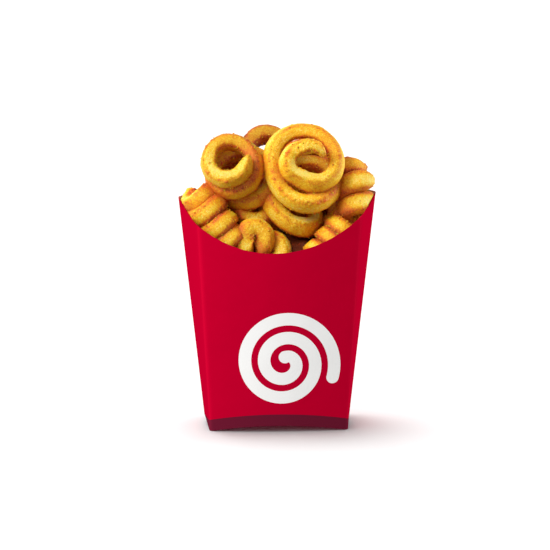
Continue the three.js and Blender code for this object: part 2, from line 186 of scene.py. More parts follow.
POTATO = {
    "crust": [(0.0, (251, 221, 110)), (0.17, (245, 201, 44)), (0.38, (233, 166, 23)),
              (0.6, (218, 117, 31)), (0.82, (197, 85, 37)), (1.0, (100, 40, 18))],
    "offset": 0.07, "sand": (0.5, 1.05), "coarse": (1.3, 0.5),  # sizes in mm, and shares of browning
    "spice": (176, 84, 26), "spice_share": 0.3,
    "spice_size": 1.1, "spice_radius": 0.16, "spice_rarity": 0.7,
    "shade": (100, 54, 16),
    # Painted shade in the crevices, mixed towards a warm orange-brown that stands for light glowing through
    # the potato.
    "crevice_shade": (218, 114, 38), "crevice_shade_share": 0.6, "crevice_from": 0.5,
    "scattering": 0.55, "scattering_length": 0.0038, "scattering_radii": (1.0, 0.33, 0.1),  # length in m
    "specular": 0.22, "roughness": (0.42, 0.6), "bump": 0.34,
}

# Degrees and mm. `frame` is what the picture takes in across its width, at the aim.
CAMERA = {"azimuth": -2.7, "elevation": 8.0, "distance": 1200.0, "aim": (-1.1, 1.3, 86.9), "frame": 319.6,
          "sensor": 36}

# The sky's brightness above and below the horizon, the height over which the two blend, and how much
# brighter it is to the left.
SKY = {"above": 0.66, "below": 0.44, "horizon": 0.25, "lean": 0.46}
LAMP_AIM = (0, 0, 0.1)  # m
# Degrees, metres and watts.
STUDIO_LAMPS = {
    "key": {"azimuth": -52, "elevation": 38, "distance": 1.1, "size": 0.6, "power": 11},
    "side": {"azimuth": 96, "elevation": 8, "distance": 1.2, "size": 0.5, "power": 14},
}
# These light the floor alone. `tilt` leans a lamp off upright, and `turn` turns it, in degrees.
FLOOR_LAMPS = {
    "dome": {"spread": 170, "tilt": 0, "turn": 0, "strength": 0.04},
    "sun": {"spread": 34, "tilt": -14, "turn": 25, "strength": 0.64},
}
FLOOR = {"half": 80.0, "colour": (0.9, 0.9, 0.9, 1), "roughness": 0.9}  # half its width in m


def srgb(red, green, blue):
    """A colour as the screen shows it, 0 to 255, as the linear colour that a shader takes."""
    values = [v / 255 for v in (red, green, blue)]
    return tuple(v / 12.92 if v <= 0.04045 else ((v + 0.055) / 1.055) ** 2.4 for v in values) + (1.0,)


# ---------------------------------------------------------------- small maths

def unit(rows):
    return rows / np.linalg.norm(rows, axis=-1, keepdims=True)


def smoothstep(low, high, value):
    t = np.clip((value - low) / (high - low), 0, 1)
    return t * t * (3 - 2 * t)


def through(points, t):
    """A smooth curve through evenly spaced rows, at each t from 0 to 1."""
    points = np.asarray(points, float)
    last = len(points) - 1
    if last == 1:
        return points[0] + (points[1] - points[0]) * t[:, None]
    k = np.minimum((t * last).astype(int), last - 1)
    u = (t * last - k)[:, None]
    padded = np.vstack([2 * points[0] - points[1], points, 2 * points[-1] - points[-2]])
    a, b, c, d = (padded[k + i] for i in range(4))
    square_term = (2 * a - 5 * b + 4 * c - d) * u**2
    cube_term = (3 * b - a - 3 * c + d) * u**3
    return 0.5 * (2 * b + (c - a) * u + square_term + cube_term)


# Keeps the noise's lattice off the object's own axes.
TURNED = np.array(Matrix.Rotation(0.6, 3, "X") @ Matrix.Rotation(1.1, 3, "Y")
                  @ Matrix.Rotation(0.35, 3, "Z"))
LINE_APART = 7.7  # mm between the lines along which strands of neighbouring seeds read their noise


def lattice(x, y, z, seed):
    """A fixed value from -1 to 1 for each whole-numbered place, by scrambling its numbers."""
    n = (x * 1619 + y * 31337 + z * 6971 + seed * 1013) & 0x7FFFFFFF
    n = (n >> 13) ^ n
    n = (n * (n * n * 60493 + 19990303) + 1376312589) & 0x7FFFFFFF
    return 1.0 - n / 1073741824.0


def noise(points, size, seed=0):
    """Smooth value noise from -1 to 1 with lumps of about `size` mm."""
    place = points @ TURNED / size
    cell = np.floor(place).astype(np.int64)
    share = smoothstep(0, 1, place - cell)
    total = np.zeros(points.shape[:-1])
    for corner in itertools.product((0, 1), repeat=3):
        weight = np.prod([share[..., i] if corner[i] else 1 - share[..., i] for i in range(3)], axis=0)
        total += weight * lattice(*(cell[..., i] + corner[i] for i in range(3)), seed)
    return total


def summed_noise(points, rows, seed=0):
    """The sum of noises, each given as how much, of what size and with what number of its own."""
    return sum(amount * noise(points, size, seed + own) for amount, size, own in rows)


def waves(distance, name, seed):
    """A strand's unevenness along its length."""
    total = 0 * distance
    for amount, size, own in WAVES[name]:
        line = np.stack([distance, 0 * distance, 0 * distance + LINE_APART * (seed + own)], axis=-1)
        total += amount * noise(line, size, seed + own)
    return total


def signed_power(value, power):
    return np.sign(value) * np.abs(value) ** power


def rotated(x, y, angle):
    c = np.cos(angle)[:, None]
    s = np.sin(angle)[:, None]
    return x * c - y * s, x * s + y * c


# ---------------------------------------------------------------- meshes and materials

def make_mesh(name, points, faces):
    """A mesh in metres from points in mm and from arrays of corner numbers, one row a face."""
    mesh = bpy.data.meshes.new(name)
    sizes = np.concatenate([np.full(len(f), f.shape[1]) for f in faces])
    corners = np.concatenate([f.ravel() for f in faces]).astype(np.int32)
    mesh.vertices.add(len(points))
    mesh.vertices.foreach_set("co", ((points - MIDDLE) * M).astype(np.float32).ravel())
    mesh.loops.add(len(corners))
    mesh.loops.foreach_set("vertex_index", corners)
    mesh.polygons.add(len(sizes))
    mesh.polygons.foreach_set("loop_start", (np.cumsum(sizes) - sizes).astype(np.int32))
    mesh.update(calc_edges=True)
    mesh.validate()
    mesh.shade_smooth()
    return mesh


def store(mesh, name, values):
    attribute = mesh.attributes.new(name, "FLOAT", "POINT")
    attribute.data.foreach_set("value", np.asarray(values, np.float32).ravel())


def link(thing):
    bpy.context.scene.collection.objects.link(thing)
    return thing


def place(name, mesh, materials, replaced, slot):
    """Puts a mesh in the scene as a piece that stands for a node of the frame."""
    piece = link(bpy.data.objects.new(name, mesh))
    for material in materials:
        mesh.materials.append(material)
    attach(piece, "root")
    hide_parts(replaced)
    return piece


class Shader:
    """A node material with short calls for the nodes used here. A value may be a number or a socket."""

    def __init__(self, name):
        self.material = bpy.data.materials.new(name)
        self.material.use_nodes = True
        self.tree = self.material.node_tree
        self.principled = self.tree.nodes["Principled BSDF"]

    def add(self, kind, inputs, **settings):
        made = self.tree.nodes.new(kind)
        for key, value in settings.items():
            setattr(made, key, value)
        for key, value in inputs.items():
            self.put(made.inputs[key], value)
        return made

    def put(self, socket, value):
        if isinstance(value, bpy.types.NodeSocket):
            self.tree.links.new(value, socket)
        else:
            socket.default_value = value

    def set(self, **inputs):
        for key, value in inputs.items():
            self.put(self.principled.inputs[key.replace("_", " ")], value)

    def attribute(self, name):
        return self.add("ShaderNodeAttribute", {}, attribute_name=name).outputs["Fac"]

    def math(self, operation, a, b=0.0):
        return self.add("ShaderNodeMath", {0: a, 1: b}, operation=operation).outputs[0]

    def total(self, *values):
        sum_so_far = values[0]
        for value in values[1:]:
            sum_so_far = self.math("ADD", sum_so_far, value)
        return sum_so_far

    def ramp_between(self, value, low, high, to_low=0.0, to_high=1.0):
        inputs = {"Value": value, "From Min": low, "From Max": high, "To Min": to_low, "To Max": to_high}
        made = self.add("ShaderNodeMapRange", inputs, interpolation_type="SMOOTHSTEP")
        return made.outputs["Result"]

    def colours(self, value, stops):
        made = self.add("ShaderNodeValToRGB", {"Fac": value})
        ramp = made.color_ramp
        while len(ramp.elements) < len(stops):
            ramp.elements.new(1.0)
        for element, (position, colour) in zip(ramp.elements, stops):
            element.position = position
            element.color = srgb(*colour)
        return made.outputs["Color"]

    def mix(self, share, first, second):
        made = self.add("ShaderNodeMix", {0: share, 6: first, 7: second}, data_type="RGBA")
        return made.outputs[2]

    def product(self, a, b):
        return self.math("MULTIPLY", a, b)

    def centred(self, value, amount):
        """A value from 0 to 1 as one from -amount / 2 to amount / 2."""
        return self.product(self.math("SUBTRACT", value, 0.5), amount)

    def length(self, x, y):
        return self.math("SQRT", self.total(self.product(x, x), self.product(y, y)))

    def position(self):
        return self.add("ShaderNodeTexCoord", {}).outputs["Object"]

    def grain(self, size, detail=2.0, roughness=0.5):
        """Noise from 0 to 1 with lumps of about `size` mm."""
        inputs = {"Vector": self.position(), "Scale": 1 / (size * M),
                  "Detail": detail, "Roughness": roughness}
        return self.add("ShaderNodeTexNoise", inputs).outputs["Fac"]

    def specks(self, size, radius):
        """1 in scattered round specks and 0 elsewhere, and a colour for each cell of `size` mm."""
        cells = self.add("ShaderNodeTexVoronoi", {"Vector": self.position(), "Scale": 1 / (size * M)})
        near = self.ramp_between(cells.outputs["Distance"], radius, radius * 0.6)
        return near, cells.outputs["Color"]

    def bump(self, height, distance):
        made = self.add("ShaderNodeBump", {"Height": height, "Distance": distance * M, "Strength": 1.0})
        self.set(Normal=made.outputs["Normal"])


# ---------------------------------------------------------------- the carton

def taper(size, z):
    return size[0] + size[1] * z


def mouth_height(x):
    radius = np.where(x < MOUTH["x"], MOUTH["left_radius"], MOUTH["right_radius"])
    return MOUTH["z"] + radius - np.sqrt(radius**2 - (x - MOUTH["x"]) ** 2)


def back_height(x):
    across = np.minimum(1, np.abs(x) / BACK_HUMP["half_width"])
    level = CORNER["left"] + (CORNER["right"] - CORNER["left"]) * (x + SIDE[0]) / (2 * SIDE[0])
    return level + BACK_HUMP["rise"] * (1 - across**2)


def wall_columns():
    """The columns round the carton: which face, how far across its panel, how far over its side facet."""
    facet = np.linspace(0, 1, FACET_COLUMNS + 1)
    panel = np.linspace(-1, 1, PANEL_COLUMNS + 1)
    rows = []
    for face in (-1, 1):
        turn = -face
        rows += [(face, -turn, f) for f in facet[:0:-1]]
        rows += [(face, turn * a, 0) for a in panel[:-1]]
        rows += [(face, turn, f) for f in facet[:-1]]
    return np.array(rows, float).T


def wall_top(face, across, facet):
    corner = np.where(across < 0, CORNER["left"], CORNER["right"])
    front = mouth_height(across * taper(FOLD, MOUTH["z"]))
    back = back_height(across * taper(FOLD, CORNER["left"]))
    panel_top = np.where(face < 0, front, back)
    return panel_top + (corner - panel_top) * facet ** CORNER["curl"]


def wall_bottom(across, facet):
    return CREASE["front_arch"] * (1 - across**2) + CREASE["side_rise"] * facet


def wall_point(face, across, facet, z):
    panel_x = across * taper(FOLD, z)
    panel_y = taper(DEPTH, z) + taper(BULGE, z) * (1 - across**2)
    x = panel_x + (np.sign(across) * taper(SIDE, z) - panel_x) * facet
    return np.stack([x, face * panel_y * (1 - facet), z + 0 * x], axis=-1)


def inset(loop, distance):
    """Moves a closed loop of points sideways into the carton."""
    before = np.roll(loop, 1, axis=0)
    after = np.roll(loop, -1, axis=0)
    first = unit(np.stack([before[:, 1] - loop[:, 1], loop[:, 0] - before[:, 0]], axis=1))
    second = unit(np.stack([loop[:, 1] - after[:, 1], after[:, 0] - loop[:, 0]], axis=1))
    middle = unit(first + second)
    reach = distance / np.sum(middle * first, axis=1)
    moved = loop.copy()
    moved[:, :2] += middle * reach[:, None]
    return moved


def rounded(loop):
    """Rounds the folds of a closed loop a little."""
    for _ in range(FOLD_SMOOTHING):
        loop = 0.5 * loop + 0.25 * (np.roll(loop, 1, axis=0) + np.roll(loop, -1, axis=0))
    return loop


def base_rings(edge):
    margin = inset(edge, VAULT["margin"])
    rings = [edge, 0.5 * (edge + margin), margin]
    for step in BASE_STEPS:
        ring = margin * (1 - step)
        ring[:, 2] = margin[:, 2] + (VAULT["height"] - margin[:, 2]) * math.sin(step * math.pi / 2)
        rings.append(ring)
    return rings


def carton_rings():
    """Closed rings from the middle of the outer base, up the outside, over the rim and down the inside."""
    face, across, facet = wall_columns()
    top = wall_top(face, across, facet)
    bottom = wall_bottom(across, facet)
    heights = bottom + (top - bottom) * np.linspace(0, 1, WALL_ROWS + 1)[:, None]
    outer = [rounded(wall_point(face, across, facet, z)) for z in heights]
    inner = [inset(loop, CARD) for loop in outer]
    outer_base = base_rings(outer[0])
    inner_base = base_rings(inner[0])
    lifted = 3  # rows of the inside's foot that the base's thickness lifts
    for ring in inner_base:
        ring[:, 2] += CARD
    for loop in inner[:lifted]:
        loop[:, 2] += CARD
    inner_base[0] = inner[0]
    return outer_base[::-1], outer[1:], inner[::-1][:-1], inner_base


def joined_rings(rings, first_middle, last_middle):
    """Points and faces of a closed body: quads between neighbouring rings, a fan at both ends."""
    count = len(rings[0])
    points = np.vstack([*rings, first_middle, last_middle])
    here = np.arange(count)
    after = np.roll(here, -1)
    quad = np.stack([here, after, count + after, count + here], axis=1)
    quads = [k * count + quad for k in range(len(rings) - 1)]
    first = len(rings) * count
    top = (len(rings) - 1) * count
    fan_in = np.stack([0 * here + first, after, here], axis=1)
    fan_out = np.stack([0 * here + first + 1, top + here, top + after], axis=1)
    return points, [np.vstack(quads), fan_in, fan_out]


def carton_piece():
    outer_base, outer, inner, inner_base = carton_rings()
    rings = [*outer_base, *outer, *inner, *inner_base]
    middle = [np.array([0, 0, VAULT["height"] + lift]) for lift in (0, CARD)]
    points, faces = joined_rings(rings, *middle)
    mesh = make_mesh("carton_card", points, faces)
    face, across, facet = wall_columns()
    columns = len(face)
    printed_rings = len(outer_base) + len(outer)
    material = np.ones(len(mesh.polygons), np.int32)
    material[:printed_rings * columns] = 0
    material[len(faces[0]):len(faces[0]) + columns] = 0
    mesh.polygons.foreach_set("material_index", material)
    mesh.set_sharp_from_angle(angle=math.radians(SHARP_EDGE))
    count = len(rings)
    over = wall_bottom(across, facet) + BAND * (1 - facet)
    level = points[:count * columns, 2].reshape(count, columns)
    spare = [0.0, 0.0]
    store(mesh, "above_band", np.concatenate([(level - over).ravel(), spare]))
    store(mesh, "fold", np.concatenate([np.tile(fold_closeness(across, facet), count), spare]))
    store(mesh, "front", np.concatenate([np.tile(face < 0, count), spare]))
    store(mesh, "facet", np.concatenate([np.tile(facet > 0, count), spare]))
    mesh.update()
    return place("carton_card", mesh, [printed_card(), bare_card()], "carton", "printed_card")


def fold_closeness(across, facet):
    """1 on a fold, falling to 0 a few mm away, as measured halfway up."""
    halfway = 60
    depth = taper(DEPTH, halfway)
    to_fold = np.where(facet > 0, facet * depth, (1 - np.abs(across)) * taper(FOLD, halfway))
    to_side_fold = (1 - facet) * depth + np.where(facet > 0, 0, FAR)
    return np.exp(-((np.minimum(to_fold, to_side_fold) / FOLD_WIDTH) ** 2))


def spiral_mask(shader, across, up):
    """1 on the stroke of a flat spiral with round ends, 0 off it, in mm from its middle."""
    turn = shader.math("DIVIDE", shader.math("ARCTAN2", across, up), 2 * math.pi)
    radius = shader.length(across, up)
    out = shader.math("DIVIDE", shader.math("SUBTRACT", radius, SPIRAL["inner"]), SPIRAL["pitch"])
    coil = shader.math("SUBTRACT", out, turn)
    nearest = shader.math("ROUND", coil)
    along = shader.math("ADD", nearest, turn)
    off = shader.product(shader.math("ABSOLUTE", shader.math("SUBTRACT", coil, nearest)), SPIRAL["pitch"])
    started = shader.math("GREATER_THAN", along, 0.0)
    ended = shader.math("LESS_THAN", along, SPIRAL["turns"])
    on_stroke = shader.math("LESS_THAN", off, SPIRAL["stroke"] / 2)
    mask = shader.product(on_stroke, shader.product(started, ended))
    for t in (0.0, SPIRAL["turns"]):
        end_radius = SPIRAL["inner"] + SPIRAL["pitch"] * t
        dx = shader.math("SUBTRACT", across, end_radius * math.sin(2 * math.pi * t))
        dz = shader.math("SUBTRACT", up, end_radius * math.cos(2 * math.pi * t))
        round_end = shader.math("LESS_THAN", shader.length(dx, dz), SPIRAL["stroke"] / 2)
        mask = shader.math("MAXIMUM", mask, round_end)
    return mask


def printed_card():
    """Crimson card with a dark band and a white spiral, side facets darkened as painted shade, its fibres,
    a slight ripple and marked folds.
    """
    shader = Shader("printed_card")
    parts = shader.add("ShaderNodeSeparateXYZ", {"Vector": shader.position()})
    across = shader.math("SUBTRACT", shader.product(parts.outputs["X"], 1 / M), SPIRAL["x"])
    up = shader.math("SUBTRACT", shader.product(parts.outputs["Z"], 1 / M), SPIRAL["z"])
    spiral = shader.product(spiral_mask(shader, across, up), shader.attribute("front"))
    band = shader.math("LESS_THAN", shader.attribute("above_band"), 0.0)
    # Painted shade: the side facets are darkened.
    facet_shade = shader.product(shader.attribute("facet"), PRINT_AND_SHADE["facet_shade_share"])
    on_fold = shader.product(shader.attribute("fold"), PRINT_AND_SHADE["fold_share"])
    first, second = PRINT_AND_SHADE["crimson"]
    ink_and_shade = shader.mix(shader.grain(3.5, detail=3), srgb(*first), srgb(*second))
    ink_and_shade = shader.mix(facet_shade, ink_and_shade, srgb(*PRINT_AND_SHADE["facet"]))
    ink_and_shade = shader.mix(band, ink_and_shade, srgb(*PRINT_AND_SHADE["band"]))
    ink_and_shade = shader.mix(on_fold, ink_and_shade, srgb(*PRINT_AND_SHADE["fold"]))
    ink_and_shade = shader.mix(spiral, ink_and_shade, srgb(*PRINT_AND_SHADE["spiral"]))
    shader.set(Base_Color=ink_and_shade, Specular_IOR_Level=0.0)
    shader.set(Roughness=shader.ramp_between(shader.grain(9, detail=3), 0.3, 0.7, 0.46, 0.56))
    fibre = shader.grain(0.7, detail=4, roughness=0.6)
    ripple = shader.product(shader.grain(22, detail=1), 9.0)
    crease = shader.product(shader.attribute("fold"), -1.2)
    shader.bump(shader.total(fibre, ripple, crease), 0.05)
    return shader.material


def bare_card():
    shader = Shader("bare_card")
    fine = shader.product(shader.grain(1.1, detail=4), 0.6)
    broad = shader.product(shader.grain(14, detail=3), 0.4)
    shader.set(Base_Color=shader.colours(shader.total(fine, broad), BARE_CARD))
    shader.set(Roughness=0.85, Specular_IOR_Level=0.2)
    shader.bump(shader.grain(0.6, detail=4, roughness=0.7), 0.08)
    return shader.material


# ---------------------------------------------------------------- the strands

SEEDS_APART = 101  # between the seeds of neighbouring curls


def strand_point(curl, t):
    """The middle of the strand at each t, and the outward direction there."""
    away = unit(through(curl["away"], t))
    top = unit(np.array([0, 0, 1.0]) - away * away[:, 2:])
    right = np.cross(away, top)
    angle = np.radians(curl["start"] + curl["hand"] * 360 * curl["turns"] * t)[:, None]
    outward = top * np.cos(angle) + right * np.sin(angle)
    radius = through(np.array(curl["radii"])[:, None], t)
    return through(curl["centres"], t) + outward * radius, outward


def strand_axes(curl, t):
    """The middle of the strand at each t, and the directions along it, outwards and sideways."""
    nudge = 0.001
    point, outward = strand_point(curl, t)
    ahead = strand_point(curl, np.minimum(1, t + nudge))[0]
    behind = strand_point(curl, np.maximum(0, t - nudge))[0]
    along = unit(ahead - behind)
    radial = unit(outward - along * np.sum(outward * along, axis=1, keepdims=True))
    return point, along, radial, np.cross(along, radial)


def strand_length(curl):
    samples = 400
    point = strand_point(curl, np.linspace(0, 1, samples))[0]
    return np.sum(np.linalg.norm(np.diff(point, axis=0), axis=1))


def side_angles():
    return np.linspace(0, 2 * math.pi, STRAND_SIDES, endpoint=False)


def section(curl, seed, distance, length):
    """The strand's uneven rounded square section on every ring: offsets, normals and how near a corner."""
    thick, wide = curl["strand"]
    swell = 1 + waves(distance, "swell", seed)
    for tip, gap in zip(curl["tips"], (distance, length - distance)):
        swell = swell * np.clip((gap + CUT_END) / tip, 0, 1) ** 0.5
    skew = np.radians(curl["hand"] * curl.get("flare", 0) + waves(distance, "skew", seed))
    square = (SQUARENESS + waves(distance, "squareness", seed))[:, None]
    x = signed_power(np.cos(side_angles())[None], 2 / square)
    y = signed_power(np.sin(side_angles())[None], 2 / square)
    corner = 4 * np.abs(x) ** square * np.abs(y) ** square
    normal_x = signed_power(x, square - 1) / thick
    normal_y = signed_power(y, square - 1) / wide
    size = np.hypot(normal_x, normal_y)
    offsets = rotated(x * swell[:, None] * thick / 2, y * swell[:, None] * wide / 2, skew)
    normals = rotated(normal_x / size, normal_y / size, skew)
    return offsets, normals, corner


def ragged_edge(grid, edge, seed):
    """1 where an edge of the strand carries a ragged crust, 0 elsewhere."""
    size, own = RELIEF["ragged_size"]
    places_size, places_own = RELIEF["ragged_places"]
    crust = smoothstep(0.1, 0.75, noise(grid, size, seed + own))
    places = smoothstep(-0.3, 0.5, noise(grid, places_size, seed + places_own))
    return edge * (crust * places)


def browning_and_shade(grid, normal, corner, edge, ragged, radial, ends, seed):
    """The share of browning and painted shade before crevices and tone: corners, edges, inner sides,
    undersides and ends.
    """
    amount, size, own = BROWNING_AND_SHADE["edge_noise"]
    # Painted shade on the inner side of each ring, the side that faces the curl's middle.
    inner_side_shade = smoothstep(0.2, -0.9, np.cos(side_angles()))[None]
    brown = BROWNING_AND_SHADE["corner"] * corner + amount * edge * noise(grid, size, seed + own)
    brown = brown + BROWNING_AND_SHADE["ragged_edge"] * ragged + BROWNING_AND_SHADE["inner_side_shade"] * inner_side_shade
    # Painted shade: browner where the surface faces down.
    brown = brown + BROWNING_AND_SHADE["underside_shade"] * smoothstep(0.35, -0.8, normal[..., 2])
    # Painted shade on the upper half of each turn, and a painted highlight, paler, on its lower half.
    brown = brown + BROWNING_AND_SHADE["shade_above_highlight_below"] * radial[:, 2:]
    brown = brown + summed_noise(grid, BROWNING_AND_SHADE["blotches"], seed)
    return brown + BROWNING_AND_SHADE["end"] * smoothstep(BROWNING_AND_SHADE["end_length"], 0, ends)


def strand_surface(curl, seed):
    """The strand as a grid of points, one row a ring, with normals and the share of browning and painted
    shade so far.
    """
    length = strand_length(curl)
    t = np.linspace(0, 1, int(length / STRAND_STEP) + 1)
    distance = t * length
    point, along, radial, axial = strand_axes(curl, t)
    point = point + radial * waves(distance, "outwards", seed)[:, None]
    point = point + axial * waves(distance, "sideways", seed)[:, None]
    offsets, normals, corner = section(curl, seed, distance, length)
    grid = point[:, None] + radial[:, None] * offsets[0][..., None] + axial[:, None] * offsets[1][..., None]
    normal = radial[:, None] * normals[0][..., None] + axial[:, None] * normals[1][..., None]
    edge = smoothstep(0.3, 1.0, corner)
    ragged = ragged_edge(grid, edge, seed)
    height = summed_noise(grid, RELIEF["lumps"], seed)
    height = height + RELIEF["ragged_edge"] * ragged - RELIEF["edge_wear"] * edge
    ends = np.minimum(distance, length - distance)[:, None]
    size, own = RELIEF["torn_size"]
    torn = RELIEF["torn_end"] * smoothstep(RELIEF["torn_length"], 0, ends) * noise(grid, size, seed + own)
    outward_end = np.where(t < 0.5, -1, 1)[:, None, None] * along[:, None]
    grid = grid + normal * height[..., None] + outward_end * torn[..., None]
    brown = browning_and_shade(grid, normal, corner, edge, ragged, radial, ends, seed) + curl.get("tone", 0)
    return {"grid": grid, "normal": normal, "edge": edge, "brown": brown, "middle": point, "t": t}


def nearness(surface, curl, others):
    """How deep in a crevice each point is, from the middles of the strands round it, on a coarser grid."""
    last = len(surface["t"]) - 1
    rows = np.unique(np.append(np.arange(0, last + 1, CREVICE["rings"]), last))
    sides = np.arange(0, STRAND_SIDES, CREVICE["sides"])
    coarse = surface["grid"][rows][:, sides]
    turn = surface["t"][rows] * curl["turns"]
    gap = np.full(coarse.shape[:2], FAR)
    for other, line, other_turn in others:
        away = np.linalg.norm(coarse[:, :, None] - line[None, None], axis=-1)
        if other is curl:
            close = np.abs(turn[:, None] - other_turn[None]) < CREVICE["own_turns"]
            away = np.where(close[:, None, :], FAR, away)
        gap = np.minimum(gap, away.min(axis=2) - sum(other["strand"]) / 4)
    coarse_depth = smoothstep(CREVICE["open"], CREVICE["closed"], gap)
    closed = np.hstack([coarse_depth, coarse_depth[:, :1]])
    side_places = np.append(sides, STRAND_SIDES)
    full = np.array([np.interp(np.arange(STRAND_SIDES), side_places, row) for row in closed])
    return np.stack([np.interp(np.arange(last + 1), rows, column) for column in full.T], axis=1)


def rim_height(points):
    """The height of the carton's edge nearest to each point."""
    x = points[..., 0]
    fold = taper(FOLD, MOUTH["z"])
    side = taper(SIDE, 130)
    facet = np.clip((np.abs(x) - fold) / (side - fold), 0, 1)
    across = np.where(np.abs(x) < fold, x / fold, np.sign(x))
    return wall_top(np.where(points[..., 1] < 0, -1, 1), across, facet)


def pressed(points):
    """Moves what would cross the card back inside it."""
    inside = points.copy()
    x, y, z = (inside[..., i] for i in range(3))
    held = smoothstep(RIM_HOLD, 0, z - rim_height(points))
    gap = CARD + CLEARANCE
    fold, side, depth = (taper(size, z) for size in (FOLD, SIDE, DEPTH))
    run = np.hypot(depth, side - fold)
    out = ((np.abs(x) - side) * depth + np.abs(y) * (side - fold)) / run + gap
    push = np.maximum(out, 0) * held
    x -= np.sign(x) * push * depth / run
    y -= np.sign(y) * push * (side - fold) / run
    across = np.clip(x / fold, -1, 1)
    over = np.abs(y) - (depth + taper(BULGE, z) * (1 - across**2)) + gap
    y -= np.sign(y) * np.maximum(over, 0) * held
    return inside


def strand_faces(rows):
    grid = np.arange(rows * STRAND_SIDES).reshape(rows, STRAND_SIDES)
    after = np.roll(grid, -1, axis=1)
    quads = np.stack([grid[:-1], after[:-1], after[1:], grid[1:]], axis=-1).reshape(-1, 4)
    first = rows * STRAND_SIDES
    fan_in = np.stack([np.full(STRAND_SIDES, first), after[0], grid[0]], axis=1)
    fan_out = np.stack([np.full(STRAND_SIDES, first + 1), grid[-1], after[-1]], axis=1)
    return [quads, fan_in, fan_out]


def with_middles(grid):
    """A grid's values with the means of its first and last rows, for the two end points."""
    flat = grid.reshape(-1, *grid.shape[2:])
    return np.concatenate([flat, grid[:1].mean(axis=1), grid[-1:].mean(axis=1)])


def strand_pieces(material):
    surfaces = [strand_surface(curl, SEEDS_APART * i) for i, curl in enumerate(CURLS)]
    step = CREVICE["line"]
    lines = [(curl, surface["middle"][::step], surface["t"][::step] * curl["turns"])
             for curl, surface in zip(CURLS, surfaces)]
    for curl, surface in zip(CURLS, surfaces):
        surface["deep"] = nearness(surface, curl, lines)
        # Painted shade: browner deep in a crevice.
        surface["brown"] = surface["brown"] + BROWNING_AND_SHADE["crevice_shade"] * surface["deep"]
        surface["grid"] = pressed(surface["grid"])
        mesh = make_mesh(curl["name"], with_middles(surface["grid"]), strand_faces(len(surface["t"])))
        store(mesh, "browning_and_shade", with_middles(surface["brown"]))
        store(mesh, "deep", with_middles(surface["deep"]))
        store(mesh, "shade", np.full(len(mesh.vertices), curl.get("shade", 0.0)))
        place("curl_" + curl["name"], mesh, [material], "curly_fries", "fried_potato")
    return surfaces


# ---------------------------------------------------------------- crumbs and core

def crumb_shape():
    """The corners and faces of a regular body with twenty faces."""
    golden = (1 + 5**0.5) / 2
    longest_edge = 2.1
    corners = [(0, a, b * golden) for a in (-1, 1) for b in (-1, 1)]
    corners = corners + [(y, z, x) for x, y, z in corners] + [(z, x, y) for x, y, z in corners]
    corners = np.array(corners, float)
    faces = []
    for a, b, c in itertools.combinations(range(len(corners)), 3):
        edges = (corners[a] - corners[b], corners[a] - corners[c], corners[b] - corners[c])
        if max(np.linalg.norm(edge) for edge in edges) > longest_edge:
            continue
        outside = np.dot(np.cross(corners[b] - corners[a], corners[c] - corners[a]), corners[a]) > 0
        faces.append((a, b, c) if outside else (a, c, b))
    return unit(corners), np.array(faces)


def crumbs_piece(surfaces, material):
    """Loose crumbs of coating on the ragged edges and in the crevices."""
    random = np.random.default_rng(CRUMBS["seed"])
    count = CRUMBS["count"]
    grid, normal = (np.vstack([s[key].reshape(-1, 3) for s in surfaces]) for key in ("grid", "normal"))
    edge, deep = (np.concatenate([s[key].ravel() for s in surfaces]) for key in ("edge", "deep"))
    in_crevice = deep * (deep < CRUMBS["deepest"])
    chance = CRUMBS["anywhere"] + CRUMBS["on_edges"] * edge + CRUMBS["in_crevices"] * in_crevice
    chosen = random.choice(len(grid), count, p=chance / chance.sum())
    shape, faces = crumb_shape()
    size = CRUMBS["smallest"] + CRUMBS["range"] * random.random(count) ** CRUMBS["bias"]
    stretch = random.uniform(*CRUMBS["stretch"], (count, 1, 3))
    lumps = random.uniform(*CRUMBS["lumps"], (count, len(shape), 1))
    corners = shape[None] * stretch * lumps * size[:, None, None]
    corners += (grid[chosen] + normal[chosen] * CRUMBS["lift"])[:, None]
    all_faces = (np.arange(count)[:, None, None] * len(shape) + faces[None]).reshape(-1, 3)
    mesh = make_mesh("coating_crumbs", corners.reshape(-1, 3), [all_faces])
    palest, spread = CRUMBS["browning_and_shade"]
    store(mesh, "browning_and_shade", np.repeat(palest + spread * random.random(count), len(shape)))
    store(mesh, "deep", np.zeros(len(mesh.vertices)))
    place("coating_crumbs", mesh, [material], "curly_fries", "fried_potato")


def core_piece(material):
    """The unseen body of fries under the curls, lumpy on top, in nearly the darkest crust colour as painted
    shade.
    """
    face, across, facet = wall_columns()
    gap = CARD + CLEARANCE + BURIED["gap"]
    bottom = inset(rounded(wall_point(face, across, facet, wall_bottom(across, facet))), gap)
    shoulder = inset(rounded(wall_point(face, across, facet, 0 * across + CORE["shoulder"])), gap)
    margin = inset(bottom, VAULT["margin"])
    margin[:, 2] += BURIED["lift"]
    bottom[:, 2] += BURIED["lift"]
    middle = margin * BURIED["floor_width"]
    middle[:, 2] = VAULT["height"] + BURIED["lift"]
    rings = [middle, margin, bottom]
    rings += [bottom + (shoulder - bottom) * s for s in np.linspace(0, 1, BURIED["wall_rings"])[1:]]
    crown = np.array([CORE["crown_x"], CORE["crown_y"], 0])
    rise = CORE["top"] - CORE["shoulder"] - BURIED["below_top"]
    for width in np.linspace(1, BURIED["crown_width"], BURIED["crown_rings"])[1:]:
        ring = crown + (shoulder - crown) * width
        ring[:, 2] = CORE["shoulder"] + rise * (1 - width**2)
        ring[:, 2] += summed_noise(ring, BURIED["lumps"])
        rings.append(ring)
    points, faces = joined_rings(rings, rings[0].mean(axis=0), rings[-1].mean(axis=0))
    mesh = make_mesh("deep_fries", points, faces)
    # Painted shade: the core takes nearly the darkest crust colour, with blotches.
    store(mesh, "browning_and_shade", BURIED["browning_and_shade"] + summed_noise(points, BURIED["blotches"]))
    store(mesh, "deep", np.zeros(len(points)))
    place("deep_fries", mesh, [material], "curly_fries", "fried_potato")


